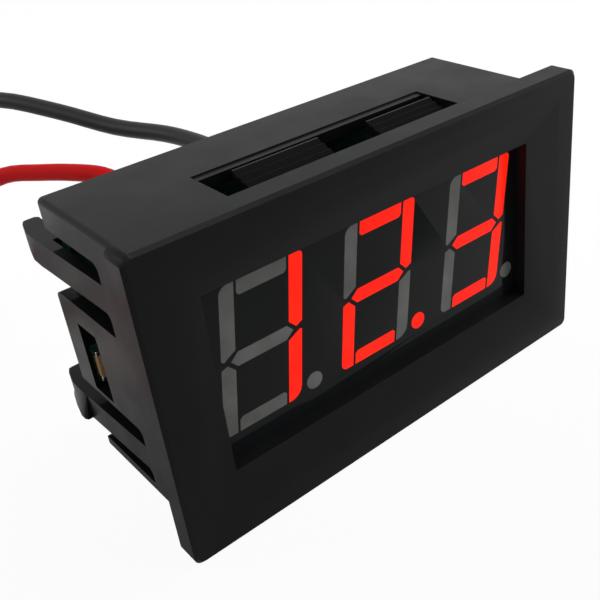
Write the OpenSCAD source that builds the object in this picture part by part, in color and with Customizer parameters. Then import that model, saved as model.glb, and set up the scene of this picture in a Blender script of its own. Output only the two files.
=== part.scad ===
// Digital panel meter: a three digit LED voltmeter module in a snap-in housing.
// The origin is the centre of the rear face of the bezel, where the panel seats.
// +X is to the right as the display is read, +Y goes back into the panel, +Z is up.

/* [Case] */
// Width of the case that goes through the panel
case_w = 45; // [44:0.5:48]
// Height of the case that goes through the panel
case_h = 26; // [25:0.5:29]
// Depth of the case behind the bezel
case_d = 15; // [14:0.5:17]
// Thickness of the case walls
wall_t = 1.2; // [1:0.1:1.5]
// Thickness of the front wall behind the rear face of the bezel
front_t = 0.3; // [0.2:0.1:0.8]
// Corner radius of the case
case_r = 0.5; // [0.3:0.1:1]

/* [Bezel] */
// How far the bezel reaches past the case on each side
bezel_over = 1.5; // [1:0.1:3]
// Thickness of the bezel
bezel_t = 2.5; // [2:0.1:3.5]
// Corner radius of the bezel
bezel_r = 0.8; // [0.5:0.1:1.2]
// Softened front edge of the bezel
bezel_edge = 0.3; // [0.1:0.05:0.5]
// Width of the flat rim round the front
rim_w = 2.5; // [2:0.1:3]
// Depth of the sloping recess at the window's edge
recess_d = 1.25; // [0.8:0.05:1.5]

/* [Display] */
// Width of the display module
display_w = 37.6; // [37:0.2:38.6]
// Height of the display module
display_h = 19; // [18:0.2:19.6]
// Depth of the display module
display_d = 8; // [7:0.5:8.5]
// How far the window's sides cover the display
cover_x = 0.55; // [0.4:0.05:0.7]
// How far the window's top and bottom cover the display
cover_z = 1; // [0.6:0.1:1.2]
// How far three digit pitches reach past the display's width
pitch_over = 0.5; // [0:0.1:0.8]
// Height of a digit
digit_h = 13.8; // [12.6:0.2:14]
// Sideways lean of the digits for each unit of height
digit_slant = 0.15; // [0.08:0.01:0.17]
// How far the row of digits sits left of the middle
digit_left = 0.2; // [0:0.1:0.4]
// How far the row of digits sits above the middle
digit_up = 0.57; // [0:0.01:0.7]
// Distance from a decimal point to the middle between two digits
point_back = 1.77; // [1.6:0.01:1.9]
// Distance from a decimal point's middle to the foot of the digits
point_rise = 0.8; // [0.7:0.05:1]
// Diameter of a decimal point
point_dia = 1.7; // [1.2:0.1:1.9]
// Depth of the light guides behind the face
guide_d = 3; // [2:0.5:4]
// Thickness of the resin that closes the back of the display
resin_t = 2; // [1:0.25:2.5]
// Wall of the display shell round the resin
shell_wall = 0.8; // [0.6:0.1:1.2]

/* [Display pins] */
// Number of pins in a row
pin_count = 6; // [4:1:7]
// Distance between neighbouring pins
pin_pitch = 2.54; // [2.3:0.01:2.54]
// Distance between the two rows of pins
pin_rows = 15.24; // [14:0.01:15.24]
// Diameter of a pin
pin_dia = 0.5; // [0.4:0.05:0.6]
// How far the pins stand out behind the board
pin_out = 1; // [0.8:0.1:1.5]

/* [Board] */
// Thickness of the circuit board
board_t = 1.6; // [1:0.2:1.6]
// Room between the display and the board
board_room = 6.05; // [5.5:0.05:7]
// Gap between the board's edges and the case walls
board_gap = 0.1; // [0.1:0.05:0.3]
// Clearance of a hole round its pin or wire
hole_gap = 0.15; // [0.1:0.05:0.25]
// Height of a solder joint
solder_h = 0.6; // [0.4:0.1:0.7]
// Radius of a solder joint at the board
solder_r = 0.85; // [0.7:0.05:1]
// Height of the ear on each edge of the board
ear_h = 3.9; // [3:0.1:4.5]
// Height of the posts that carry the board
post_h = 2.4; // [2:0.1:3]

/* [Side clips] */
// Half the height of the plate between the two arms
plate_half = 4.75; // [4.5:0.05:5]
// How far the clip pattern sits below the middle
clip_down = 1.1; // [0.9:0.05:1.2]
// Height of the slot between the plate and the upper arm
slot_up = 2.2; // [1.9:0.05:2.4]
// Height of the slot between the plate and the lower arm
slot_in = 1.65; // [1.3:0.05:1.8]
// Height of an arm
arm_h = 2.65; // [2.3:0.05:2.8]
// Height of the slot above the upper arm
slot_top = 1.8; // [1.5:0.1:2.2]
// Height of the slot below the lower arm
slot_low = 1.55; // [1.2:0.05:1.7]
// Where the slots start behind the bezel
slot_y = 5.9; // [5:0.1:8]
// Corner radius at the front of each slot
slot_r = 0.8; // [0.4:0.1:1]
// Thickness of the arms
arm_t = 1; // [0.8:0.1:1.2]
// How far the arms lean out at the back of the case
arm_lean = 0.3; // [0.1:0.05:0.4]
// How far the plate reaches behind the case
plate_out = 2; // [1:0.25:3]
// Length of the hooks at the arms' ends
hook_l = 5.6; // [4.5:0.1:6.5]
// How far the hooks catch the board's edge
hook_bite = 0.5; // [0.3:0.05:0.7]
// Gap between the hooks and the board
hook_gap = 0.35; // [0.25:0.05:0.6]
// How far the lower arm's barb stands out
barb = 0.65; // [0.4:0.05:0.9]

/* [Side window] */
// Front of the window in each side
side_win_y = 10.6; // [9.5:0.1:11.5]
// Length of the window along the case
side_win_l = 3.4; // [2.5:0.1:3.8]
// Height of the window
side_win_h = 6.9; // [5:0.1:7.5]
// How far the window's middle sits below the middle of the case
side_win_down = 1.95; // [1.5:0.05:2.3]
// Wall left outside the groove that takes the board's ear
groove_wall = 0.4; // [0.3:0.05:0.6]

/* [Grips] */
// Left end of the openings above and below
open_x0 = -12.2; // [-13:0.1:-11]
// Right end of the openings above and below
open_x1 = 13.4; // [12:0.1:14]
// Front of the openings
open_y0 = 1.5; // [1:0.1:2]
// Back of the openings
open_y1 = 7.65; // [7.4:0.05:8]
// Width of the shallow step behind the openings
step_w = 0.85; // [0.5:0.05:1.2]
// Depth of the shallow step
step_d = 0.15; // [0.1:0.05:0.3]
// Width of the left grip
grip_left_w = 9; // [7:0.1:9.5]
// Gap from the opening's left end to the left grip
grip_left_gap = 3; // [2.5:0.1:3.5]
// Width of the right grip
grip_right_w = 8; // [6:0.1:8.5]
// Gap from the opening's right end to the right grip
grip_right_gap = 0.4; // [0.3:0.1:1]
// Where the left grip ends behind the bezel
grip_left_y = 6.95; // [6:0.05:7.1]
// Where the right grip ends behind the bezel
grip_right_y = 6.4; // [6:0.05:7.1]
// Thickness of a grip
grip_t = 1; // [0.8:0.1:1.2]
// Height of a grip's teeth
tooth_h = 0.25; // [0.15:0.05:0.35]
// Number of teeth on a grip
tooth_count = 6; // [4:1:8]
// Fall of a grip towards the bezel for each unit of depth
grip_fall = 0.36; // [0.25:0.01:0.4]

/* [Leads] */
// Diameter of a lead's insulation
lead_dia = 1.7; // [1.3:0.1:1.8]
// Diameter of a lead's tinned strands
strand_dia = 0.9; // [0.6:0.1:1]
// Length of the bare tinned end
bare_l = 5; // [3:0.5:8]
// Bare length between a lead's insulation and the board
bare_in = 0.9; // [0.7:0.1:1.2]
// Turns across the height of a coil
coil_layers = 2; // [1:1:2]
// Outer diameter of a coil
coil_dia = 19.4; // [17:0.2:20]
// Width of a coil's ring
coil_band = 2.6; // [2:0.1:4]

/* [Trimmer] */
// Side of the trimmer's square body
trimmer_a = 3.6; // [3:0.2:4]
// Height of the trimmer's body
trimmer_h = 1.3; // [1:0.1:1.6]
// Diameter of the trimmer's rotor
rotor_dia = 2.4; // [2:0.1:2.6]
// Running clearance round the rotor
rotor_gap = 0.05; // [0.03:0.01:0.08]
// Depth that the rotor sits in the body
rotor_in = 0.7; // [0.5:0.1:0.8]
// How far the rotor stands out of the body
rotor_out = 0.4; // [0.2:0.1:0.6]

/* [Hidden] */
$fn = 32;
eps = 0.01;

bezel_w = case_w + 2 * bezel_over;
bezel_h = case_h + 2 * bezel_over;
in_w = case_w - 2 * wall_t;
in_h = case_h - 2 * wall_t;
face_y = front_t;
window_w = display_w - 2 * cover_x;
window_h = display_h - 2 * cover_z;
display_back = face_y + display_d;
board_y = display_back + board_room;
board_back = board_y + board_t;
board_w = in_w - 2 * board_gap;
board_h = in_h - 2 * board_gap;
side_x = case_w / 2;
side_win_z0 = -side_win_down - side_win_h / 2;
ear_x = side_x - groove_wall - board_gap;
hook_y = board_back + hook_gap;
hook_end = hook_y + hook_l;
plate_y = case_d + plate_out;
plate_z0 = -clip_down - plate_half;
plate_z1 = -clip_down + plate_half;
arm_top_z0 = plate_z1 + slot_up;
arm_low_z0 = plate_z0 - slot_in - arm_h;
hook_in = wall_t + board_gap + hook_bite;
floor_z = -bezel_h / 2;
lead_z = floor_z + lead_dia / 2;
strand_y = board_back + solder_h;
sleeve_y = board_back + bare_in;

housing_col = "#2a2c2f";
tin = "#c9cbcc";

// The middle line of each lead, from the board back to the floor.
black_hole = [-4, board_h / 2 - 1.5];
black_path = [
    [black_hole[0], sleeve_y, black_hole[1]], [black_hole[0], sleeve_y + 2, black_hole[1]],
    [-4.1, 21.5, 10.2], [-4.9, 26, 10.2], [-7.4, 32, 10.3],
    [-10.6, 38, 11.6], [-14.1, 44, 12.6], [-16.6, 48.4, 11.6], [-18.2, 51.6, 8.2],
    [-19, 53.6, 3.2], [-19.2, 54.8, -2.4], [-19.3, 55.7, -7.6], [-19.7, 56.5, -11.6],
    [-21.8, 57.8, lead_z]
];
// Middle of each coil, and how far its end is turned round that middle.
black_coil_at = [-30.5, 52];
black_end_turn = 30;
red_hole = [-12, board_h / 2 - 4.2];
red_path = [
    [red_hole[0], sleeve_y, red_hole[1]], [red_hole[0], sleeve_y + 1.5, red_hole[1]],
    [-12.2, 21.5, 8.4], [-12.8, 24.7, 8.8], [-14.1, 28.5, 8.5],
    [-15.7, 33, 7.8], [-17.8, 38, 6.8], [-20.3, 41.8, 4.4], [-23.2, 43.4, 0.4],
    [-26.4, 42.8, -4.6], [-29.8, 41, -9.2], [-33.2, 39, -12.5], [-37.9, 37, lead_z]
];
red_coil_at = [-41, 27];
red_end_turn = 120;

// ---------- shapes used by several pieces ----------

// Extrudes a shape drawn in X and Z from y0 back to y1.
module slab_y(y0, y1) {
    translate([0, y1, 0]) rotate([90, 0, 0]) linear_extrude(y1 - y0) children();
}

// Extrudes a shape drawn in Y and Z from x0 to x1.
module slab_x(x0, x1) {
    translate([x0, 0, 0]) rotate([90, 0, 90]) linear_extrude(x1 - x0) children();
}

module round_rect(w, h, r) {
    square([w - 2 * r, h], center = true);
    square([w, h - 2 * r], center = true);
    for (sx = [-1, 1], sz = [-1, 1]) translate([sx * (w / 2 - r), sz * (h / 2 - r)]) circle(r);
}

// A round rod along Y.
module rod_y(x, z, y0, y1, r) {
    translate([x, y1, z]) rotate([90, 0, 0]) cylinder(h = y1 - y0, r = r);
}

module both_sides() {
    children();
    mirror([1, 0, 0]) children();
}

module top_and_bottom() {
    children();
    mirror([0, 0, 1]) children();
}

// ---------- housing ----------

// The bezel with softened front edges.
module bezel_blank() {
    slab_y(-bezel_t + bezel_edge, 0) round_rect(bezel_w, bezel_h, bezel_r);
    hull() {
        slab_y(-bezel_t + bezel_edge, -bezel_t + bezel_edge + eps)
            round_rect(bezel_w, bezel_h, bezel_r);
        slab_y(-bezel_t, -bezel_t + eps)
            round_rect(bezel_w - 2 * bezel_edge, bezel_h - 2 * bezel_edge, bezel_r - bezel_edge / 2);
    }
}

// The four sided slope from the rim down to the window.
module recess() {
    w0 = bezel_w - 2 * rim_w;
    h0 = bezel_h - 2 * rim_w;
    y0 = -bezel_t;
    y1 = y0 + recess_d;
    grow = recess_d;
    hull() {
        slab_y(y0 - 1, y0) square([w0, h0], center = true);
        slab_y(y1 - eps, y1) square([window_w, window_h], center = true);
    }
}

// The outline of a slot: open at the back, with one rounded front corner.
module slot_shape(z0, h) {
    far = hook_end + 5;
    translate([slot_y + slot_r, z0]) square([far - slot_y - slot_r, h]);
    translate([slot_y, z0]) square([slot_r + eps, h - slot_r]);
    translate([slot_y + slot_r, z0 + h - slot_r]) circle(slot_r);
}

module side_slots() {
    slab_x(side_x - wall_t - 0.5, side_x + 1) {
        slot_shape(plate_z1, slot_up);
        slot_shape(arm_top_z0 + arm_h, slot_top);
        slot_shape(plate_z0 - slot_in, slot_in);
        slot_shape(arm_low_z0 - slot_low, slot_low);
        // the arms themselves are built again, thinner and leaning out
        translate([slot_y + slot_r, arm_top_z0 - eps]) square([hook_end, arm_h + 2 * eps]);
        translate([slot_y + slot_r, arm_low_z0 - eps]) square([hook_end, arm_h + 2 * eps]);
    }
}

// The window in a side, and the groove that leads the board's ear into it.
module side_window() {
    slab_x(side_x - wall_t - 0.5, side_x + 1)
        translate([side_win_y, side_win_z0]) square([side_win_l, side_win_h]);
    slab_x(side_x - wall_t - 0.5, side_x - groove_wall)
        translate([side_win_y, side_win_z0]) square([plate_y + 1 - side_win_y, side_win_h]);
}

// The plate between the arms, longer than the case, with its corner rounded.
module side_plate() {
    r = slot_r;
    slab_x(side_x - wall_t, side_x) {
        translate([slot_y, plate_z0]) square([plate_y - slot_y, plate_z1 - plate_z0 - r]);
        translate([slot_y, plate_z1 - r - eps]) square([plate_y - slot_y - r, r + eps]);
        translate([plate_y - r, plate_z1 - r]) circle(r);
    }
}

// The plan of an arm on the right side, from its root to its tip.
function arm_plan(out) = [
    [side_x - arm_t, slot_y],
    [side_x, slot_y],
    [side_x + arm_lean, hook_y + 0.2],
    [side_x + arm_lean + out, hook_y + 0.3],
    [side_x + arm_lean + out + 0.05, hook_y + 1.3],
    [side_x + arm_lean + out * 0.6, hook_y + hook_l * 0.55],
    [side_x - 0.1 + out * 0.2, hook_y + hook_l * 0.86],
    [side_x - 0.4, hook_end - 0.12],
    [side_x - 0.7, hook_end],
    [side_x - hook_in + 0.3, hook_end],
    [side_x - hook_in, hook_end - 0.3],
    [side_x - hook_in, hook_y],
    [side_x + arm_lean - arm_t, hook_y]
];

module arm_block(z0, h, out) {
    translate([0, 0, z0]) linear_extrude(h) polygon(arm_plan(out));
}

// The barb of the lower arm: full at the arm's lower edge, nothing at its upper edge.
module barb_wedge() {
    x = side_x + arm_lean - 0.2;
    y = hook_y + 0.2;
    hull() {
        translate([0, 0, arm_low_z0]) linear_extrude(0.3)
            polygon([
                [x, y], [x + 0.2 + barb * 0.7, y], [x + 0.2 + barb, y + 0.35],
                [x + 0.2 + barb, y + 1.1], [x + barb * 0.7, y + 2.9],
                [x, y + 4.4]
            ]);
        translate([0, 0, arm_low_z0 + arm_h - 0.2]) linear_extrude(0.2)
            polygon([[x, y], [x + 0.22, y], [x + 0.22, y + 1.1], [x, y + 3]]);
    }
}

module arms() {
    intersection() {
        union() {
            arm_block(arm_top_z0, arm_h, 0);
            arm_block(arm_low_z0, arm_h, 0);
            barb_wedge();
        }
        // the hooks' lower back corners are rounded
        slab_x(side_x - 5, side_x + 5) {
            arm_side(arm_top_z0);
            arm_side(arm_low_z0);
        }
    }
}

module arm_side(z0) {
    r = arm_h * 0.6;
    translate([slot_y, z0]) square([hook_end - r - slot_y, arm_h]);
    translate([hook_end - r - eps, z0 + r]) square([r + eps, arm_h - r]);
    translate([hook_end - r, z0 + r]) circle(r);
}

// A springy grip with a row of teeth, its root at the front wall.
function grip_profile(y_end) =
    let (
        y_root = front_t,
        y_first = open_y0 + 0.5,
        z_end = case_h / 2,
        z_at = function (y) z_end - (y_end - y) * grip_fall,
        n = tooth_count,
        p = (y_end - y_first) / n
    )
    concat(
        [[y_root, z_at(y_first) - grip_t - 0.4], [y_root, z_at(y_first) - 0.4]],
        [[y_first, z_at(y_first) - tooth_h]],
        [for (i = [0 : n - 1]) each [
            [y_first + (i + 0.75) * p, z_at(y_first + (i + 1) * p)],
            [y_first + (i + 1) * p - 0.001, z_at(y_first + (i + 1) * p)],
            [y_first + (i + 1) * p, z_at(y_first + (i + 1) * p) - (i < n - 1 ? tooth_h : 0.2)]
        ]],
        [[y_end, z_end - grip_t], [y_first, z_at(y_first) - grip_t]]
    );

module grips() {
    slab_x(open_x0 + grip_left_gap, open_x0 + grip_left_gap + grip_left_w)
        polygon(grip_profile(grip_left_y));
    slab_x(open_x1 - grip_right_gap - grip_right_w, open_x1 - grip_right_gap)
        polygon(grip_profile(grip_right_y));
    // the bridge between the two grips' roots
    slab_x(open_x0 + grip_left_gap + grip_left_w - 0.5,
        open_x1 - grip_right_gap - grip_right_w + 0.5)
        translate([front_t - eps, case_h / 2 - 2.4]) square([open_y0 + 1.2 - front_t, 1.1]);
}

module openings() {
    y0 = front_t;
    z0 = case_h / 2 - wall_t - eps;
    translate([open_x0, y0, z0]) cube([open_x1 - open_x0, open_y1 - y0, wall_t + 1]);
    translate([open_x0, open_y1 - eps, case_h / 2 - step_d])
        cube([open_x1 - open_x0, step_w + eps, 1]);
}

// Ribs that hold the display sideways, and the posts that carry the board.
module inner_ribs() {
    rib_l = (in_w - display_w) / 2 - board_gap;
    both_sides() top_and_bottom() {
        translate([in_w / 2 - rib_l, front_t - eps, display_h / 2 - 3.4])
            cube([rib_l + eps, display_d * 0.8, 1]);
        translate([in_w / 2 - rib_l, front_t - eps, in_h / 2 - post_h])
            cube([rib_l + eps, board_y - front_t + eps, post_h + eps]);
    }
}

module housing() {
    color(housing_col)
    union() {
        difference() {
            union() {
                bezel_blank();
                slab_y(-eps, case_d) round_rect(case_w, case_h, case_r);
            }
            recess();
            slab_y(-bezel_t - 1, front_t + eps) square([window_w, window_h], center = true);
            slab_y(front_t, case_d + 1) square([in_w, in_h], center = true);
            top_and_bottom() openings();
            both_sides() side_slots();
            both_sides() side_window();
        }
        both_sides() {
            difference() {
                side_plate();
                side_window();
            }
            arms();
        }
        top_and_bottom() grips();
        inner_ribs();
    }
}

// ---------- display ----------

function arc(cx, cz, r, a0, a1) =
    [for (i = [0 : 4]) let (a = a0 + (a1 - a0) * i / 4) [cx + r * cos(a), cz + r * sin(a)]];

// The seven segment outlines of one upright digit, for a digit 14 units high.
half_w = 4.12;
vert_in = 2.71;
horiz_w = 2.46;
horiz_z = 5.65;
top_z = 7;
seg_a = [
    [-horiz_w, top_z], [horiz_w, top_z], [horiz_w, horiz_z + 0.25],
    [horiz_w - 0.25, horiz_z], [-horiz_w + 0.25, horiz_z], [-horiz_w, horiz_z + 0.25]
];
seg_b = concat(
    [[vert_in, top_z]], arc(half_w - 0.45, top_z - 0.45, 0.45, 90, 0),
    [[half_w, 0.5], [3.5, 0.2], [vert_in, 0.95]]
);
seg_c = concat(
    [[vert_in, -0.85], [3.9, -0.2], [half_w, -0.3]],
    arc(half_w - 1.1, -top_z + 1.1, 1.1, 0, -90), [[vert_in, -top_z]]
);
seg_d = [
    [-horiz_w, -horiz_z - 0.25], [-horiz_w + 0.25, -horiz_z], [horiz_w - 0.25, -horiz_z],
    [horiz_w, -horiz_z - 0.25], [horiz_w, -top_z], [-horiz_w, -top_z]
];
seg_e = concat(
    [[-vert_in, -0.95], [-vert_in, -top_z]],
    arc(-half_w + 0.7, -top_z + 0.7, 0.7, -90, -180), [[-half_w, -0.4], [-3.5, -0.2]]
);
seg_f = concat(
    [[-vert_in, top_z], [-vert_in, 0.95], [-3.84, 0.25], [-half_w, 0.45]],
    arc(-half_w + 0.75, top_z - 0.75, 0.75, 180, 90)
);
seg_g = [[-3.18, 0], [-2.48, 0.67], [2.48, 0.67], [3.18, 0], [2.48, -0.67], [-2.48, -0.67]];
segments = [seg_a, seg_b, seg_c, seg_d, seg_e, seg_f, seg_g];
digit_k = digit_h / 14;
digit_pitch = (display_w + pitch_over) / 3;

function leaned(points) =
    [for (p = points) [(p[0] + digit_slant * p[1]) * digit_k, p[1] * digit_k]];

function digit_x(d) = (d - 2) * digit_pitch - digit_left;

module segment(d, s, y0, y1) {
    slab_y(y0, y1) translate([digit_x(d), digit_up]) polygon(leaned(segments[s]));
}

module point(d, y0, y1) {
    rod_y(digit_x(d) + digit_pitch / 2 - point_back, digit_up - digit_h / 2 + point_rise, y0, y1,
        point_dia / 2);
}

module display_shell() {
    color("#17181a")
    difference() {
        slab_y(face_y, display_back) square([display_w, display_h], center = true);
        for (d = [1 : 3]) {
            for (s = [0 : 6]) segment(d, s, face_y - 1, face_y + guide_d);
            point(d, face_y - 1, face_y + guide_d);
        }
        slab_y(display_back - resin_t, display_back + 1)
            square([display_w - 2 * shell_wall, display_h - 2 * shell_wall], center = true);
    }
}

module display_resin() {
    color("#5f6468")
    slab_y(display_back - resin_t, display_back)
        square([display_w - 2 * shell_wall, display_h - 2 * shell_wall], center = true);
}

module light_guide(d, s) {
    color("#77797b") segment(d, s, face_y, face_y + guide_d);
}

module light_point(d) {
    color("#77797b") point(d, face_y, face_y + guide_d);
}

function pin_x(i) = (i - (pin_count - 1) / 2) * pin_pitch;

module pin_row(side) {
    color(tin)
    for (i = [0 : pin_count - 1])
        rod_y(pin_x(i), side * pin_rows / 2, display_back, board_back + pin_out, pin_dia / 2);
}

// ---------- board ----------

module circuit_board() {
    color("#1d4a2c")
    difference() {
        slab_y(board_y, board_back) {
            square([board_w, board_h], center = true);
            translate([-ear_x, side_win_z0 + board_gap]) square([2 * ear_x, ear_h]);
        }
        for (i = [0 : pin_count - 1], side = [-1, 1])
            rod_y(pin_x(i), side * pin_rows / 2, board_y - 1, board_back + 1,
                pin_dia / 2 + hole_gap);
        for (p = [black_hole, red_hole])
            rod_y(p[0], p[1], board_y - 1, board_back + 1, strand_dia / 2 + hole_gap);
    }
}

// A cone of solder round a wire of radius r.
module solder_cone(x, z, r) {
    translate([x, board_back, z]) rotate([-90, 0, 0])
        rotate_extrude() polygon([[r, 0], [solder_r + r - 0.25, 0], [r + 0.15, solder_h], [r, solder_h]]);
}

module solder_joints() {
    color(tin) {
        for (i = [0 : pin_count - 1], side = [-1, 1])
            solder_cone(pin_x(i), side * pin_rows / 2, pin_dia / 2);
        for (p = [black_hole, red_hole]) solder_cone(p[0], p[1], strand_dia / 2);
    }
}

// A block that stands on the back of the board, centred at x and z.
module on_back(x, z, w, h, d, lift = 0) {
    translate([x - w / 2, board_back + lift, z - h / 2]) cube([w, d, h]);
}

// A block that stands on the front of the board, centred at x and z.
module on_front(x, z, w, h, d) {
    translate([x - w / 2, board_y - d, z - h / 2]) cube([w, d, h]);
}

// A chip part with a metal cap at each end, along X or along Z.
module chip_body(x, z, l, w, h, cap, upright) {
    on_back(x, z, upright ? w : l - 2 * cap, upright ? l - 2 * cap : w, h);
}

module chip_caps(x, z, l, w, h, cap, upright) {
    for (e = [-1, 1])
        on_back(x + (upright ? 0 : e * (l - cap) / 2), z + (upright ? e * (l - cap) / 2 : 0),
            upright ? w : cap, upright ? cap : w, h);
}

// Pieces near an edge of the board keep their distance from that edge.
left_x = -board_w / 2;
right_x = board_w / 2;
cap_w = 1.6;
cap_l = 2.2;
cap_h = 0.8;
cap_x = cap_w / 2 + 0.1 - ear_x;
cap_z = side_win_z0 + board_gap + ear_h / 2;
cap_end = 0.5;

module edge_capacitor() {
    color("#c9a66b") on_front(cap_x, cap_z, cap_w, cap_l, cap_h);
}

module edge_capacitor_ends() {
    color(tin) {
        for (e = [-1, 1])
            on_front(cap_x, cap_z + e * (cap_l + cap_end) / 2, cap_w, cap_end, cap_h);
    }
}

mcu_x = 6;
mcu_z = -1;
mcu_l = 12.8;
mcu_w = 7.5;
mcu_h = 2.2;
mcu_lift = 0.15;
mcu_pitch = 1.27;
mcu_rows = 10;
leg_w = 0.4;
dot_r = 0.5;
dot_in = 1.2;
dot_d = 0.1;

module microcontroller() {
    color("#1c1c1e")
    difference() {
        on_back(mcu_x, mcu_z, mcu_l, mcu_w, mcu_h, mcu_lift);
        rod_y(mcu_x - mcu_l / 2 + dot_in, mcu_z - mcu_w / 2 + dot_in,
            board_back + mcu_lift + mcu_h - dot_d, board_back + 2 * mcu_h, dot_r);
    }
}

// One gull wing lead, drawn as a foot, a leg and a shoulder.
module gull_leads(side) {
    z = mcu_z + side * mcu_w / 2;
    for (i = [0 : mcu_rows - 1])
        translate([mcu_x + (i - (mcu_rows - 1) / 2) * mcu_pitch - leg_w / 2, board_back, z])
        rotate([90, 0, 90]) linear_extrude(leg_w)
            polygon([
                [0, side * 1.4], [0.2, side * 1.4], [0.2, side * 0.65], [1.35, side * 0.45],
                [1.35, 0], [1.1, 0], [1.1, side * 0.25], [0, side * 0.45]
            ]);
}

module microcontroller_leads() {
    color(tin) {
        gull_leads(1);
        gull_leads(-1);
    }
}

reg_x = -11;
reg_z = -3;
reg_l = 4.5;
reg_w = 2.5;
reg_h = 1.5;
reg_pitch = 1.5;
reg_leg_w = 0.45;
reg_leg_l = 0.9;
reg_leg_t = 0.4;
reg_tab_w = 1.7;

module regulator() {
    color("#1c1c1e") on_back(reg_x, reg_z, reg_l, reg_w, reg_h);
}

module regulator_leads() {
    color(tin) {
        for (i = [-1, 0, 1])
            on_back(reg_x + i * reg_pitch, reg_z - (reg_w + reg_leg_l) / 2, reg_leg_w,
                reg_leg_l, reg_leg_t);
        on_back(reg_x, reg_z + (reg_w + reg_leg_l) / 2, reg_tab_w, reg_leg_l, reg_leg_t);
    }
}

diode_x = left_x + 4.2;
diode_z = 2;
diode_w = 2.6;
diode_l = 4.3;
diode_h = 2.1;
diode_end = 0.7;
diode_end_w = 1.5;
diode_end_h = 1;

module diode() {
    color("#1c1c1e") on_back(diode_x, diode_z, diode_w, diode_l, diode_h);
}

module diode_ends() {
    color(tin)
    for (e = [-1, 1])
        on_back(diode_x, diode_z + e * (diode_l + diode_end) / 2, diode_end_w, diode_end,
            diode_end_h);
}

// Chip parts keep their distance from an edge of the board, or from the trimmer.
trimmer_gap = 5.7;
trimmer_at = [right_x - trimmer_gap, board_h / 2 - trimmer_gap];
below_trimmer = 3.4;
edge_gap = 5.2;
chip_l = 2;
chip_w = 1.25;
capacitor_h = 1;
capacitor_end = 0.4;
resistor_h = 0.55;
resistor_end = 0.35;
capacitors_at = [[left_x + 5.7, -6.5], [-12, -8.5], [-3.4, -2]];
resistors_at = [
    [-8.5, 1.5], [-8.5, 4], [right_x - edge_gap, -3], [right_x - edge_gap, -5.2],
    [right_x - edge_gap, trimmer_at[1] - below_trimmer]
];

module chip_capacitors() {
    color("#c9a66b")
    for (p = capacitors_at)
        chip_body(p[0], p[1], chip_l, chip_w, capacitor_h, capacitor_end, true);
}

module chip_capacitor_ends() {
    color(tin)
    for (p = capacitors_at)
        chip_caps(p[0], p[1], chip_l, chip_w, capacitor_h, capacitor_end, true);
}

module chip_resistors() {
    color("#202022")
    for (p = resistors_at)
        chip_body(p[0], p[1], chip_l, chip_w, resistor_h, resistor_end, false);
}

module chip_resistor_ends() {
    color(tin)
    for (p = resistors_at)
        chip_caps(p[0], p[1], chip_l, chip_w, resistor_h, resistor_end, false);
}

foot_w = 0.7;
foot_l = 0.9;
foot_t = 0.1;

slot_w = 0.4;
rotor_y0 = board_back + foot_t + trimmer_h - rotor_in;

module trimmer_body() {
    color("#2f5f9e")
    difference() {
        on_back(trimmer_at[0], trimmer_at[1], trimmer_a, trimmer_a, trimmer_h, foot_t);
        rod_y(trimmer_at[0], trimmer_at[1], rotor_y0, board_back + 2 * trimmer_h,
            rotor_dia / 2 + rotor_gap);
    }
}

module trimmer_feet() {
    color(tin) {
        for (e = [-1, 1])
            on_back(trimmer_at[0] + e * (trimmer_a / 2 - foot_w), trimmer_at[1] - trimmer_a / 2,
                foot_w, foot_l, foot_t);
        on_back(trimmer_at[0], trimmer_at[1] + trimmer_a / 2, 2 * foot_w, foot_l, foot_t);
    }
}

// The brass rotor with its cross slot for a screwdriver.
module trimmer_rotor() {
    y1 = board_back + foot_t + trimmer_h + rotor_out;
    l = rotor_dia * 0.75;
    color("#c8a24a")
    difference() {
        rod_y(trimmer_at[0], trimmer_at[1], rotor_y0 + rotor_gap, y1, rotor_dia / 2);
        for (s = [[slot_w, l], [l, slot_w]])
            translate([trimmer_at[0] - s[0] / 2, y1 - slot_w, trimmer_at[1] - s[1] / 2])
                cube([s[0], 1, s[1]]);
    }
}

// ---------- leads ----------

function spline(a, b, c, d, t) =
    0.5 * (2 * b + (c - a) * t + (2 * a - 5 * b + 4 * c - d) * t * t
        + (3 * b - a - 3 * c + d) * t * t * t);

function smooth(path, per) =
    let (n = len(path))
    concat(
        [for (i = [0 : n - 2], j = [0 : per - 1])
            spline(path[max(i - 1, 0)], path[i], path[i + 1], path[min(i + 2, n - 1)], j / per)],
        [path[n - 1]]
    );

function unit(v) = v / norm(v);

// A round tube swept along a line of points.
module tube(path, r, sides) {
    pts = smooth(path, 2);
    n = len(pts);
    rings = [
        for (i = [0 : n - 1])
            let (
                t = unit(pts[min(i + 1, n - 1)] - pts[max(i - 1, 0)]),
                u = unit(cross(t, [1, 0, 0])),
                v = cross(t, u)
            )
            each [for (k = [0 : sides - 1])
                pts[i] + r * (cos(360 * k / sides) * u + sin(360 * k / sides) * v)]
    ];
    faces = concat(
        [[for (k = [sides - 1 : -1 : 0]) k]],
        [for (i = [0 : n - 2], k = [0 : sides - 1])
            [i * sides + k, i * sides + (k + 1) % sides,
                (i + 1) * sides + (k + 1) % sides, (i + 1) * sides + k]],
        [[for (k = [0 : sides - 1]) (n - 1) * sides + k]]
    );
    polyhedron(points = rings, faces = faces);
}

// The outer shape of a flat coil that lies on the floor.
module coil(at) {
    h = coil_layers * lead_dia;
    translate([at[0], at[1], floor_z]) rotate_extrude($fn = 48)
        translate([coil_dia / 2 - coil_band, 0]) square([coil_band, h]);
}

// The stripped wire between a lead's insulation and its solder joint.
module bare_wire(hole) {
    rod_y(hole[0], hole[1], board_y - 0.4, sleeve_y, strand_dia / 2);
}

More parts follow.
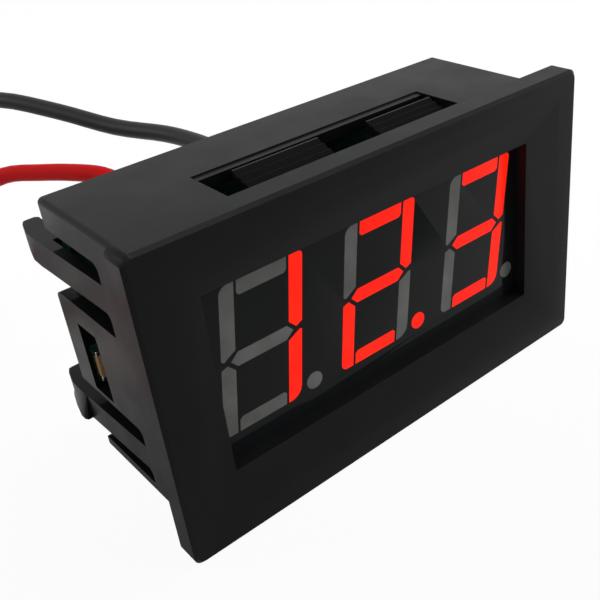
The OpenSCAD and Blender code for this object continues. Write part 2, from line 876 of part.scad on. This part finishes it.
// The tinned end, which leaves the top of its coil and slopes down to the floor.
module bare_end(at, turn) {
    drop = 1.5 * lead_dia - strand_dia / 2;
    translate([at[0], at[1], floor_z + 1.5 * lead_dia]) rotate([0, 0, turn])
        translate([-coil_dia * 0.29, (coil_dia - lead_dia) / 2, 0])
            rotate([0, -90 - asin(drop / bare_l), 0]) cylinder(h = bare_l, r = strand_dia / 2);
}

module black_lead() {
    color("#141414") tube(black_path, lead_dia / 2, 8);
}

module red_lead() {
    color("#d01414") tube(red_path, lead_dia / 2, 8);
}

housing();
display_shell();
display_resin();
pin_row(1);  // display_pins_top
pin_row(-1);  // display_pins_bottom
light_guide(1, 0);  // digit_1_seg_a
light_guide(1, 1);  // digit_1_seg_b
light_guide(1, 2);  // digit_1_seg_c
light_guide(1, 3);  // digit_1_seg_d
light_guide(1, 4);  // digit_1_seg_e
light_guide(1, 5);  // digit_1_seg_f
light_guide(1, 6);  // digit_1_seg_g
light_point(1);  // digit_1_point
light_guide(2, 0);  // digit_2_seg_a
light_guide(2, 1);  // digit_2_seg_b
light_guide(2, 2);  // digit_2_seg_c
light_guide(2, 3);  // digit_2_seg_d
light_guide(2, 4);  // digit_2_seg_e
light_guide(2, 5);  // digit_2_seg_f
light_guide(2, 6);  // digit_2_seg_g
light_point(2);  // digit_2_point
light_guide(3, 0);  // digit_3_seg_a
light_guide(3, 1);  // digit_3_seg_b
light_guide(3, 2);  // digit_3_seg_c
light_guide(3, 3);  // digit_3_seg_d
light_guide(3, 4);  // digit_3_seg_e
light_guide(3, 5);  // digit_3_seg_f
light_guide(3, 6);  // digit_3_seg_g
light_point(3);  // digit_3_point
circuit_board();
solder_joints();
edge_capacitor();
edge_capacitor_ends();
microcontroller();
microcontroller_leads();
regulator();
regulator_leads();
diode();
diode_ends();
chip_capacitors();
chip_capacitor_ends();
chip_resistors();
chip_resistor_ends();
trimmer_body();
trimmer_rotor();
trimmer_feet();
black_lead();
color("#141414") coil(black_coil_at);  // black_lead_coil
color(tin) bare_wire(black_hole);  // black_lead_wire
color(tin) bare_end(black_coil_at, black_end_turn);  // black_lead_end
red_lead();
color("#d01414") coil(red_coil_at);  // red_lead_coil
color(tin) bare_wire(red_hole);  // red_lead_wire
color(tin) bare_end(red_coil_at, red_end_turn);  // red_lead_end
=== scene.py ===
# Digital panel meter: a three digit LED voltmeter module in a snap-in housing.
import math

import bmesh
import bpy
from mathutils import Matrix, Vector


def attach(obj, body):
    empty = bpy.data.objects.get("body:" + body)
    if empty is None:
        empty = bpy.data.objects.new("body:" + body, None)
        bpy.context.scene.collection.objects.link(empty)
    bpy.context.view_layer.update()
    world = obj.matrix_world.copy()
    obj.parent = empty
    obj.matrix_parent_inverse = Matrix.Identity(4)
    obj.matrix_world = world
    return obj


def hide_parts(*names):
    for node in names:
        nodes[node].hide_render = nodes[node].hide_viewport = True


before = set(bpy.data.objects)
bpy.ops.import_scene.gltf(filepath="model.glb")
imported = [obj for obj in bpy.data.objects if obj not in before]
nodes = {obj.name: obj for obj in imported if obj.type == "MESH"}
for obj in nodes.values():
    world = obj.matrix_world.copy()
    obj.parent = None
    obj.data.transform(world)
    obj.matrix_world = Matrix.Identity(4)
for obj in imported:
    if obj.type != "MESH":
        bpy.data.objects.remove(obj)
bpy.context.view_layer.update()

scene = bpy.context.scene
scene.view_settings.view_transform = "Standard"
mm = 0.001

# ---------- Camera ----------
# A plain lens a little longer than normal, held close to the left of the
# meter and above it, with its frame slid sideways so the meter sits in it.
camera_data = bpy.data.cameras.new("camera")
camera = bpy.data.objects.new("camera", camera_data)
scene.collection.objects.link(camera)
camera_data.sensor_width = 36.0
camera_data.lens = 52.764
camera_data.shift_x = -0.1245
camera_data.shift_y = -0.02943
camera_data.clip_start = 0.002
camera_data.clip_end = 20.0
stands = Vector((-43.166, -51.781, 41.186)) * mm
looks_right = Vector((0.7427, -0.6654, -0.0749)).normalized()
looks_ahead = Vector((0.5436, 0.6644, -0.5129)).normalized()
looks_up = looks_right.cross(looks_ahead).normalized()
looks_right = looks_ahead.cross(looks_up).normalized()
camera.matrix_world = Matrix((
    (looks_right.x, looks_up.x, -looks_ahead.x, stands.x),
    (looks_right.y, looks_up.y, -looks_ahead.y, stands.y),
    (looks_right.z, looks_up.z, -looks_ahead.z, stands.z),
    (0, 0, 0, 1),
))
scene.camera = camera

# ---------- Leads ----------
# Two lengths of thin hook-up wire in soft PVC, black for the negative pole
# and red for the positive. Each is soldered into the back of the board and
# its spare length lies in a small coil, with a bare tinned end.
lead_r = 0.85 * mm
floor_z = -14.5 * mm
lead_z = floor_z + lead_r
coil_r = 8.85 * mm
# Each route runs from the board to the bench, in millimetres. The coil follows it.
black_route = [
    (-4, 16.85, 10.2), (-4, 18.85, 10.2), (-4.1, 21.5, 10.2), (-4.9, 26, 10.2), (-7.4, 32, 10.3),
    (-10.6, 38, 11.6), (-14.1, 44, 12.6), (-16.6, 48.4, 11.6), (-18.2, 51.6, 8.2),
    (-19, 53.6, 3.2), (-19.2, 54.8, -2.4), (-19.3, 55.7, -7.6), (-19.7, 56.5, -11.6),
    (-21.8, 57.8, -13.65),
]
red_route = [
    (-12, 16.85, 7.5), (-12, 18.35, 7.5), (-12.2, 21.5, 8.4), (-12.8, 24.7, 8.8), (-14.1, 28.5, 8.5),
    (-15.7, 33, 7.8), (-17.8, 38, 6.8), (-20.3, 41.8, 4.4), (-23.2, 43.4, 0.4),
    (-26.4, 42.8, -4.6), (-29.8, 41, -9.2), (-33.2, 39, -12.5), (-37.9, 37, -13.65),
]


def curve_through(points, steps):
    """A smooth line through chosen points, as a list of vectors."""
    line = []
    for i in range(len(points) - 1):
        a = points[max(i - 1, 0)]
        b = points[i]
        c = points[i + 1]
        d = points[min(i + 2, len(points) - 1)]
        for k in range(steps):
            t = k / steps
            line.append(0.5 * (2 * b + (c - a) * t + (2 * a - 5 * b + 4 * c - d) * t * t
                               + (3 * b - a - 3 * c + d) * t ** 3))
    line.append(points[-1])
    return line


def lead_line(route, coil_at, first, last):
    """The route to the bench, then a coil between two angles in degrees.

    The coil climbs onto its own first turn, and its end runs straight on.
    """
    step = 12
    climb_from = 250
    climb_over = 90
    straight_end = 5.6 * mm
    centre = Vector((*coil_at, 0)) * mm

    def on_coil(angle, height):
        a = math.radians(angle)
        return centre + Vector((coil_r * math.cos(a), coil_r * math.sin(a), height))

    points = [Vector(p) * mm for p in route]
    points.append(on_coil(first, lead_z))
    steps = round((last - first) / step)
    for k in range(1, steps + 1):
        turned = (last - first) * k / steps
        climb = min(max((turned - climb_from) / climb_over, 0), 1)
        height = lead_z + 2 * lead_r * climb * climb * (3 - 2 * climb)
        points.append(on_coil(first + turned, height))
    a = math.radians(last)
    onward = Vector((-math.sin(a), math.cos(a), 0))
    points.append(on_coil(last, lead_z + 2 * lead_r) + straight_end * onward)
    line = curve_through(points, 4)
    for place in line:
        place.z = max(place.z, lead_z)
    return line


def round_wire(name, line, radius):
    """A wire of that radius along a line of points, as a curve.

    The points carry the radius, so that the box round the curve stays tight.
    """
    data = bpy.data.curves.new(name, "CURVE")
    data.dimensions = "3D"
    data.bevel_depth = 1
    data.bevel_resolution = 7
    data.use_fill_caps = True
    spline = data.splines.new("POLY")
    spline.points.add(len(line) - 1)
    for point, place in zip(spline.points, line):
        point.co = (place.x, place.y, place.z, 1)
        point.radius = radius
    spline.use_smooth = True
    piece = bpy.data.objects.new(name, data)
    scene.collection.objects.link(piece)
    return piece


def new_material(name):
    """An empty material with its node tree and its Principled shader."""
    material = bpy.data.materials.new(name)
    material.use_nodes = True
    return material, material.node_tree, material.node_tree.nodes["Principled BSDF"]


def soft_pvc(name, colour, roughness, shine):
    """Smooth extruded PVC with a faint uneven skin."""
    material, tree, shader = new_material(name)
    where = tree.nodes.new("ShaderNodeTexCoord")
    cloud = tree.nodes.new("ShaderNodeTexNoise")
    cloud.inputs["Scale"].default_value = 900
    cloud.inputs["Detail"].default_value = 3
    tree.links.new(where.outputs["Object"], cloud.inputs["Vector"])
    shade = tree.nodes.new("ShaderNodeMix")
    shade.data_type = "RGBA"
    shade.inputs["A"].default_value = (*[c * 0.85 for c in colour], 1)
    shade.inputs["B"].default_value = (*colour, 1)
    tree.links.new(cloud.outputs["Fac"], shade.inputs["Factor"])
    tree.links.new(shade.outputs["Result"], shader.inputs["Base Color"])
    dull = tree.nodes.new("ShaderNodeMapRange")
    dull.inputs["To Min"].default_value = roughness - 0.05
    dull.inputs["To Max"].default_value = roughness + 0.08
    tree.links.new(cloud.outputs["Fac"], dull.inputs["Value"])
    tree.links.new(dull.outputs["Result"], shader.inputs["Roughness"])
    bump = tree.nodes.new("ShaderNodeBump")
    bump.inputs["Strength"].default_value = 0.15
    bump.inputs["Distance"].default_value = 0.03 * mm
    tree.links.new(cloud.outputs["Fac"], bump.inputs["Height"])
    tree.links.new(bump.outputs["Normal"], shader.inputs["Normal"])
    shader.inputs["Specular IOR Level"].default_value = shine
    return material


black_pvc = soft_pvc("black_pvc", (0.012, 0.012, 0.013), 0.40, 0.25)
red_pvc = soft_pvc("red_pvc", (0.56, 0.003, 0.0045), 0.45, 0.06)
for colour, pvc, route, coil_at, first, last in (
    ("black", black_pvc, black_route, (-30.5, 52), 66, 480),
    ("red", red_pvc, red_route, (-41, 27), 105, 570),
):
    line = lead_line(route, coil_at, first, last)
    wire = round_wire(colour + "_insulation", line, lead_r)
    lead = colour + "_lead"
    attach(wire, "meter")
    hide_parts(lead, lead + "_coil")
    wire.data.materials.append(pvc)

# ---------- Room ----------
# A pale bench in a plain white room, with a key light high above the meter
# and two wider, weaker lights: one at its left and one low at the front right.


def bright_for(tree, seen, mirrored):
    """A factor of one share for camera rays and another for mirrored ones."""
    ray = tree.nodes.new("ShaderNodeLightPath")
    both = tree.nodes.new("ShaderNodeMath")
    both.operation = "MAXIMUM"
    tree.links.new(ray.outputs["Is Glossy Ray"], both.inputs[0])
    tree.links.new(ray.outputs["Is Transmission Ray"], both.inputs[1])
    part = tree.nodes.new("ShaderNodeMath")
    part.operation = "MULTIPLY"
    part.inputs[1].default_value = mirrored
    tree.links.new(both.outputs["Value"], part.inputs[0])
    total = tree.nodes.new("ShaderNodeMath")
    total.operation = "MULTIPLY_ADD"
    total.inputs[1].default_value = seen
    tree.links.new(ray.outputs["Is Camera Ray"], total.inputs[0])
    tree.links.new(part.outputs["Value"], total.inputs[2])
    return total.outputs["Value"]


floor_mesh = bpy.data.meshes.new("bench")
floor_form = bmesh.new()
bmesh.ops.create_grid(floor_form, x_segments=1, y_segments=1, size=3)
bmesh.ops.translate(floor_form, verts=floor_form.verts, vec=(0, 0, floor_z))
floor_form.to_mesh(floor_mesh)
floor_form.free()
floor = bpy.data.objects.new("bench", floor_mesh)
scene.collection.objects.link(floor)
# The bench is painted darker towards the meter's front left and pale towards its back right.
# This painted shade shows as shade on the faces that mirror the bench.
bench, tree, matt = new_material("bench_white")
matt.inputs["Roughness"].default_value = 0.9
matt.inputs["Specular IOR Level"].default_value = 0.1
where = tree.nodes.new("ShaderNodeTexCoord")
across = tree.nodes.new("ShaderNodeVectorMath")
across.operation = "DOT_PRODUCT"
across.inputs[1].default_value = (0.6, 0.8, 0)
tree.links.new(where.outputs["Object"], across.inputs[0])
# Painted shade on the bench: darker at the front left, pale at the back right.
painted_bench_shade = tree.nodes.new("ShaderNodeMapRange")
painted_bench_shade.inputs["From Min"].default_value = -15 * mm
painted_bench_shade.inputs["From Max"].default_value = 15 * mm
painted_bench_shade.inputs["To Min"].default_value = 0.45
painted_bench_shade.inputs["To Max"].default_value = 1.0
tree.links.new(across.outputs["Value"], painted_bench_shade.inputs["Value"])
tree.links.new(painted_bench_shade.outputs["Result"], matt.inputs["Base Color"])
glow = tree.nodes.new("ShaderNodeEmission")
mixer = tree.nodes.new("ShaderNodeMixShader")
tree.links.new(bright_for(tree, 0.95, 0.1), mixer.inputs["Fac"])
tree.links.new(matt.outputs["BSDF"], mixer.inputs[1])
tree.links.new(glow.outputs["Emission"], mixer.inputs[2])
tree.links.new(mixer.outputs["Shader"], tree.nodes["Material Output"].inputs["Surface"])
floor_mesh.materials.append(bench)

# The room is white where it is seen or mirrored, and lights the meter less,
# most of all from the back left.
room = bpy.data.worlds.new("room")
scene.world = room
room.use_nodes = True
tree = room.node_tree
tree.nodes.clear()
where = tree.nodes.new("ShaderNodeTexCoord")
facing = tree.nodes.new("ShaderNodeVectorMath")
facing.operation = "DOT_PRODUCT"
facing.inputs[1].default_value = (-0.40, 0.72, 0.45)
tree.links.new(where.outputs["Generated"], facing.inputs[0])
grade = tree.nodes.new("ShaderNodeMapRange")
grade.inputs["From Min"].default_value = -0.6
grade.inputs["From Max"].default_value = 0.6
grade.inputs["To Min"].default_value = 0.42
grade.inputs["To Max"].default_value = 0.60
tree.links.new(facing.outputs["Value"], grade.inputs["Value"])
soft_room = tree.nodes.new("ShaderNodeBackground")
tree.links.new(grade.outputs["Result"], soft_room.inputs["Strength"])
white_room = tree.nodes.new("ShaderNodeBackground")
white_room.inputs["Strength"].default_value = 1.0
mixer = tree.nodes.new("ShaderNodeMixShader")
tree.links.new(bright_for(tree, 1.0, 1.0), mixer.inputs["Fac"])
tree.links.new(soft_room.outputs["Background"], mixer.inputs[1])
tree.links.new(white_room.outputs["Background"], mixer.inputs[2])
out = tree.nodes.new("ShaderNodeOutputWorld")
tree.links.new(mixer.outputs["Shader"], out.inputs["Surface"])

for name, place, width, power in (
    ("key_light", (0.25, -0.10, 0.70), 0.25, 2.4),
    ("left_light", (-0.55, 0.25, 0.35), 0.40, 0.9),
    ("front_light", (0.50, -0.45, 0.25), 0.40, 1.8),
):
    data = bpy.data.lights.new(name, "AREA")
    data.size = width
    data.energy = power
    lamp = bpy.data.objects.new(name, data)
    scene.collection.objects.link(lamp)
    lamp.location = place
    lamp.rotation_euler = (-Vector(place)).to_track_quat("-Z", "Y").to_euler()

# ---------- Housing ----------
# One moulding in black ABS: the bezel, the case, the latch arms at the sides
# and the toothed grips above and below. It has a fine satin skin and slightly
# rounded edges, as it comes out of the mould.


def moulded_copy(node, name, round_by, steps=2):
    """A joined copy of a solid with its edges rounded, which stands for it."""
    sharp = math.radians(35)
    mesh = nodes[node].data.copy()
    mesh.name = name
    form = bmesh.new()
    form.from_mesh(mesh)
    bmesh.ops.remove_doubles(form, verts=form.verts, dist=0.002 * mm)
    bmesh.ops.dissolve_limit(form, angle_limit=math.radians(1.5), verts=form.verts,
                             edges=form.edges, use_dissolve_boundaries=False)
    form.to_mesh(mesh)
    form.free()
    piece = bpy.data.objects.new(name, mesh)
    scene.collection.objects.link(piece)
    mesh.materials.clear()
    if round_by:
        edges = piece.modifiers.new("rounded edges", "BEVEL")
        edges.width = round_by
        edges.segments = steps
        edges.limit_method = "ANGLE"
        edges.angle_limit = sharp
    mesh.shade_smooth()
    mesh.set_sharp_from_angle(angle=sharp)
    smooth = piece.modifiers.new("flat faces", "WEIGHTED_NORMAL")
    smooth.keep_sharp = True
    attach(piece, "trimmer" if node == "trimmer_rotor" else "meter")
    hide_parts(node)
    return piece


# The skin of moulded plastic: soft mottling in colour and gloss, and fine grain.
skin = bpy.data.node_groups.new("moulded_skin", "ShaderNodeTree")
for socket, kind in (
    ("Vector", "NodeSocketVector"),
    ("Colour", "NodeSocketColor"),
    ("Mottle", "NodeSocketFloat"),
    ("Roughness", "NodeSocketFloat"),
    ("Grain", "NodeSocketFloat"),
    ("Relief", "NodeSocketFloat"),
):
    skin.interface.new_socket(name=socket, in_out="INPUT", socket_type=kind)
for socket, kind in (
    ("Colour", "NodeSocketColor"),
    ("Roughness", "NodeSocketFloat"),
    ("Normal", "NodeSocketVector"),
):
    skin.interface.new_socket(name=socket, in_out="OUTPUT", socket_type=kind)
give = skin.nodes.new("NodeGroupInput")
take = skin.nodes.new("NodeGroupOutput")
# Cloudy noise about zero, which the colour and the roughness follow.
cloud = skin.nodes.new("ShaderNodeTexNoise")
cloud.inputs["Scale"].default_value = 260
cloud.inputs["Detail"].default_value = 4
skin.links.new(give.outputs["Vector"], cloud.inputs["Vector"])
level = skin.nodes.new("ShaderNodeMath")
level.operation = "SUBTRACT"
level.inputs[1].default_value = 0.5
skin.links.new(cloud.outputs["Fac"], level.inputs[0])
spread = skin.nodes.new("ShaderNodeMath")
spread.operation = "MULTIPLY"
spread.inputs[1].default_value = 4.0
skin.links.new(give.outputs["Mottle"], spread.inputs[0])
factor = skin.nodes.new("ShaderNodeMath")
factor.operation = "MULTIPLY_ADD"
factor.inputs[2].default_value = 1.0
skin.links.new(level.outputs["Value"], factor.inputs[0])
skin.links.new(spread.outputs["Value"], factor.inputs[1])
paint = skin.nodes.new("ShaderNodeVectorMath")
paint.operation = "SCALE"
skin.links.new(give.outputs["Colour"], paint.inputs[0])
skin.links.new(factor.outputs["Value"], paint.inputs["Scale"])
skin.links.new(paint.outputs["Vector"], take.inputs["Colour"])
dull = skin.nodes.new("ShaderNodeMath")
dull.operation = "MULTIPLY_ADD"
dull.inputs[1].default_value = 0.25
skin.links.new(level.outputs["Value"], dull.inputs[0])
skin.links.new(give.outputs["Roughness"], dull.inputs[2])
skin.links.new(dull.outputs["Value"], take.inputs["Roughness"])
# Fine noise for the grain of the mould.
grain = skin.nodes.new("ShaderNodeTexNoise")
grain.inputs["Detail"].default_value = 2
skin.links.new(give.outputs["Vector"], grain.inputs["Vector"])
skin.links.new(give.outputs["Grain"], grain.inputs["Scale"])
bump = skin.nodes.new("ShaderNodeBump")
bump.inputs["Distance"].default_value = 0.02 * mm
skin.links.new(give.outputs["Relief"], bump.inputs["Strength"])
skin.links.new(grain.outputs["Fac"], bump.inputs["Height"])
skin.links.new(bump.outputs["Normal"], take.inputs["Normal"])


def skinned(name, colour, roughness, mottle, grain_scale, relief):
    """A material with that skin, and its Principled shader."""
    material, tree, shader = new_material(name)
    where = tree.nodes.new("ShaderNodeTexCoord")
    surface = tree.nodes.new("ShaderNodeGroup")
    surface.node_tree = skin
    surface.inputs["Colour"].default_value = (*colour, 1)
    surface.inputs["Roughness"].default_value = roughness
    surface.inputs["Mottle"].default_value = mottle
    surface.inputs["Grain"].default_value = grain_scale
    surface.inputs["Relief"].default_value = relief
    tree.links.new(where.outputs["Object"], surface.inputs["Vector"])
    tree.links.new(surface.outputs["Colour"], shader.inputs["Base Color"])
    tree.links.new(surface.outputs["Roughness"], shader.inputs["Roughness"])
    tree.links.new(surface.outputs["Normal"], shader.inputs["Normal"])
    return material, shader


def moulded(name, colour, roughness, mottle, grain_scale, relief, shine=0.5):
    """Moulded plastic, resin or ceramic."""
    material, shader = skinned(name, colour, roughness, mottle, grain_scale, relief)
    shader.inputs["Specular IOR Level"].default_value = shine
    return material


def dress(piece, material):
    """Puts one material on a piece."""
    piece.data.materials.clear()
    piece.data.materials.append(material)


housing = moulded_copy("housing", "housing_moulding", 0.10 * mm, 3)
# The arms' ends are parted from their roots for their finish, and a rib
# closes each groove above the board's ear. Its size is in millimetres.
arm_root_y = 14.2 * mm
rib_size = (0.8, 1.6, 2.7)
rib_x = 21.7 * mm
rib_y = 15.15 * mm
rib_z = 0.05 * mm
form = bmesh.new()
form.from_mesh(housing.data)
bmesh.ops.bisect_plane(form, geom=form.verts[:] + form.edges[:] + form.faces[:], dist=0.0001 * mm,
                       plane_co=(0, arm_root_y, 0), plane_no=(0, 1, 0), use_snap_center=False,
                       clear_outer=False, clear_inner=False)
for side in (-1, 1):
    rib = bmesh.ops.create_cube(form, size=1 * mm)["verts"]
    bmesh.ops.scale(form, verts=rib, vec=rib_size)
    bmesh.ops.translate(form, verts=rib, vec=(side * rib_x, rib_y, rib_z))
form.to_mesh(housing.data)
form.free()
satin_abs = moulded("satin_abs", (0.0072, 0.0076, 0.0082), 0.34, 0.06, 6000.0, 0.25, 0.1)
# A darker, rougher ABS whose darker colour is painted shade for the housing's inside.
painted_shade_abs = moulded("painted_shade_abs", (0.0045, 0.0047, 0.0050), 0.6, 0.1, 4000.0, 0.3, 0.03)
dress(housing, satin_abs)
# The slots, the openings and the inside get a darker, rougher ABS; its darker colour is painted
# shade for the shade that falls in them.
housing.data.materials.append(painted_shade_abs)
inside_x = 22.42 * mm
inside_z = 12.75 * mm
inside_from = 0.5 * mm
inside_to = 14.3 * mm
for face in housing.data.polygons:
    at = face.center
    if abs(at.x) < inside_x and abs(at.z) < inside_z and inside_from < at.y < inside_to:
        face.material_index = 1

# ---------- Display ----------
# A black shell with a polished front, wells for the light guides, and cast
# resin that closes its back round two rows of tinned pins.
polished_black = moulded("polished_black", (0.0080, 0.0088, 0.0094), 0.10, 0.05, 3000.0, 0.02, 0.12)
dress(moulded_copy("display_shell", "display_body", 0), polished_black)
cast_resin = moulded("cast_resin", (0.30, 0.31, 0.29), 0.35, 0.2, 2500.0, 0.3)
dress(moulded_copy("display_resin", "display_back", 0.1 * mm), cast_resin)


def metal(name, colour, roughness):
    """Solder, tin or plating with a slightly uneven skin."""
    material, shader = skinned(name, colour, roughness, 0.2, 2600.0, 0.3)
    shader.inputs["Metallic"].default_value = 1.0
    return material


tin = metal("bright_tin", (0.78, 0.79, 0.80), 0.28)
for row in ("top", "bottom"):
    pins = moulded_copy("display_pins_" + row, "display_pin_row_" + row, 0.08 * mm)
    dress(pins, tin)

# ---------- Light guides ----------
# Milky grey resin prisms, flush with the display's front. The lit ones show
# 12.3 in red, in places a little warmer.
milky_resin = moulded("milky_resin", (0.135, 0.136, 0.131), 0.2, 0.25, 3000.0, 0.05, 0.1)
lit_red, tree, shader = new_material("lit_red")
shader.inputs["Base Color"].default_value = (0.35, 0.003, 0.002, 1)
shader.inputs["Roughness"].default_value = 0.2
shader.inputs["Specular IOR Level"].default_value = 0.1
shader.inputs["Emission Strength"].default_value = 0.85
where = tree.nodes.new("ShaderNodeTexCoord")
cloud = tree.nodes.new("ShaderNodeTexNoise")
cloud.inputs["Scale"].default_value = 220
cloud.inputs["Detail"].default_value = 2
tree.links.new(where.outputs["Object"], cloud.inputs["Vector"])
shade = tree.nodes.new("ShaderNodeMix")
shade.data_type = "RGBA"
shade.inputs["A"].default_value = (1.0, 0.004, 0.004, 1)
shade.inputs["B"].default_value = (1.0, 0.030, 0.004, 1)
tree.links.new(cloud.outputs["Fac"], shade.inputs["Factor"])
tree.links.new(shade.outputs["Result"], shader.inputs["Emission Color"])

lit_segments = {1: "bc", 2: "abged", 3: "abgcd"}
lit_point = 2
for digit, lit in lit_segments.items():
    guides = [(f"digit_{digit}_seg_{letter}", f"digit_{digit}_guide_{letter}", letter in lit)
              for letter in "abcdefg"]
    guides.append((f"digit_{digit}_point", f"digit_{digit}_guide_point", digit == lit_point))
    for node, name, on in guides:
        guide = moulded_copy(node, name, 0)
        dress(guide, lit_red if on else milky_resin)

# ---------- Circuit board ----------
# Glass fibre board under green solder resist, with copper tracks showing
# faintly through it and its parts soldered to the back.
green_resist = moulded("green_resist", (0.008, 0.085, 0.050), 0.3, 0.25, 2200.0, 0.15, 0.3)
tree = green_resist.node_tree
where = tree.nodes.new("ShaderNodeTexCoord")
upright = tree.nodes.new("ShaderNodeMapping")
upright.inputs["Rotation"].default_value = (math.radians(90), 0, 0)
tree.links.new(where.outputs["Object"], upright.inputs["Vector"])
tracks = tree.nodes.new("ShaderNodeTexBrick")
tracks.offset = 0.37
tracks.squash = 1.9
tracks.squash_frequency = 3
tracks.inputs["Scale"].default_value = 1.0
tracks.inputs["Brick Width"].default_value = 4.6 * mm
tracks.inputs["Row Height"].default_value = 0.0013
tracks.inputs["Mortar Size"].default_value = 0.12 * mm
tracks.inputs["Mortar Smooth"].default_value = 0.6
tracks.inputs["Color1"].default_value = (0.007, 0.078, 0.046, 1)
tracks.inputs["Color2"].default_value = (0.008, 0.082, 0.048, 1)
tracks.inputs["Mortar"].default_value = (0.010, 0.096, 0.055, 1)
tree.links.new(upright.outputs["Vector"], tracks.inputs["Vector"])
surface = next(node for node in tree.nodes if node.type == "GROUP")
tree.links.new(tracks.outputs["Color"], surface.inputs["Colour"])
dress(moulded_copy("circuit_board", "printed_board", 0.05 * mm), green_resist)
dress(moulded_copy("solder_joints", "soldered_pins", 0.08 * mm), tin)

# ---------- Parts on the board ----------
# Moulded chips, chip resistors and capacitors with tinned ends, and a
# trimmer whose brass rotor turns.
epoxy = moulded("chip_epoxy", (0.018, 0.018, 0.020), 0.5, 0.15, 5000.0, 0.3)
tan = moulded("tan_ceramic", (0.42, 0.26, 0.12), 0.45, 0.25, 4000.0, 0.2)
glaze = moulded("resistor_glaze", (0.016, 0.016, 0.018), 0.25, 0.2, 3000.0, 0.1)
blue = moulded("blue_plastic", (0.03, 0.11, 0.36), 0.4, 0.1, 5000.0, 0.2)
brass = metal("plated_brass", (0.76, 0.56, 0.25), 0.3)
for node, name, round_by, material, slot in (
    ("microcontroller", "controller_chip", 0.1, epoxy, "chip_black"),
    ("regulator", "regulator_chip", 0.1, epoxy, "chip_black"),
    ("diode", "diode_body", 0.1, epoxy, "chip_black"),
    ("edge_capacitor", "side_capacitor", 0.06, tan, "ceramic_tan"),
    ("chip_capacitors", "small_capacitors", 0.06, tan, "ceramic_tan"),
    ("chip_resistors", "small_resistors", 0.04, glaze, "resistor_black"),
    ("edge_capacitor_ends", "side_capacitor_caps", 0.04, tin, "tinned_metal"),
    ("microcontroller_leads", "chip_legs", 0.04, tin, "tinned_metal"),
    ("regulator_leads", "regulator_legs", 0.04, tin, "tinned_metal"),
    ("diode_ends", "diode_tabs", 0.04, tin, "tinned_metal"),
    ("chip_capacitor_ends", "capacitor_caps", 0.04, tin, "tinned_metal"),
    ("chip_resistor_ends", "resistor_caps", 0.04, tin, "tinned_metal"),
    ("trimmer_feet", "trimmer_tabs", 0.04, tin, "tinned_metal"),
    ("trimmer_body", "trimmer_case", 0.12, blue, "trimmer_blue"),
    ("trimmer_rotor", "trimmer_screw", 0.06, brass, "rotor_brass"),
):
    dress(moulded_copy(node, name, round_by * mm), material)

# ---------- Bare wire ends ----------
# The stripped strands of each lead, twisted and dipped in solder.
strands = metal("tinned_strands", (0.74, 0.74, 0.73), 0.33)
tree = strands.node_tree
where = tree.nodes.new("ShaderNodeTexCoord")
twist = tree.nodes.new("ShaderNodeTexWave")
twist.bands_direction = "DIAGONAL"
twist.inputs["Scale"].default_value = 900
twist.inputs["Distortion"].default_value = 2.0
tree.links.new(where.outputs["Object"], twist.inputs["Vector"])
bump = tree.nodes.new("ShaderNodeBump")
bump.inputs["Strength"].default_value = 0.6
bump.inputs["Distance"].default_value = 0.05 * mm
tree.links.new(twist.outputs["Fac"], bump.inputs["Height"])
tree.links.new(bump.outputs["Normal"], tree.nodes["Principled BSDF"].inputs["Normal"])
for lead in ("black_lead", "red_lead"):
    for part in ("_wire", "_end"):
        dress(nodes[lead + part], strands)
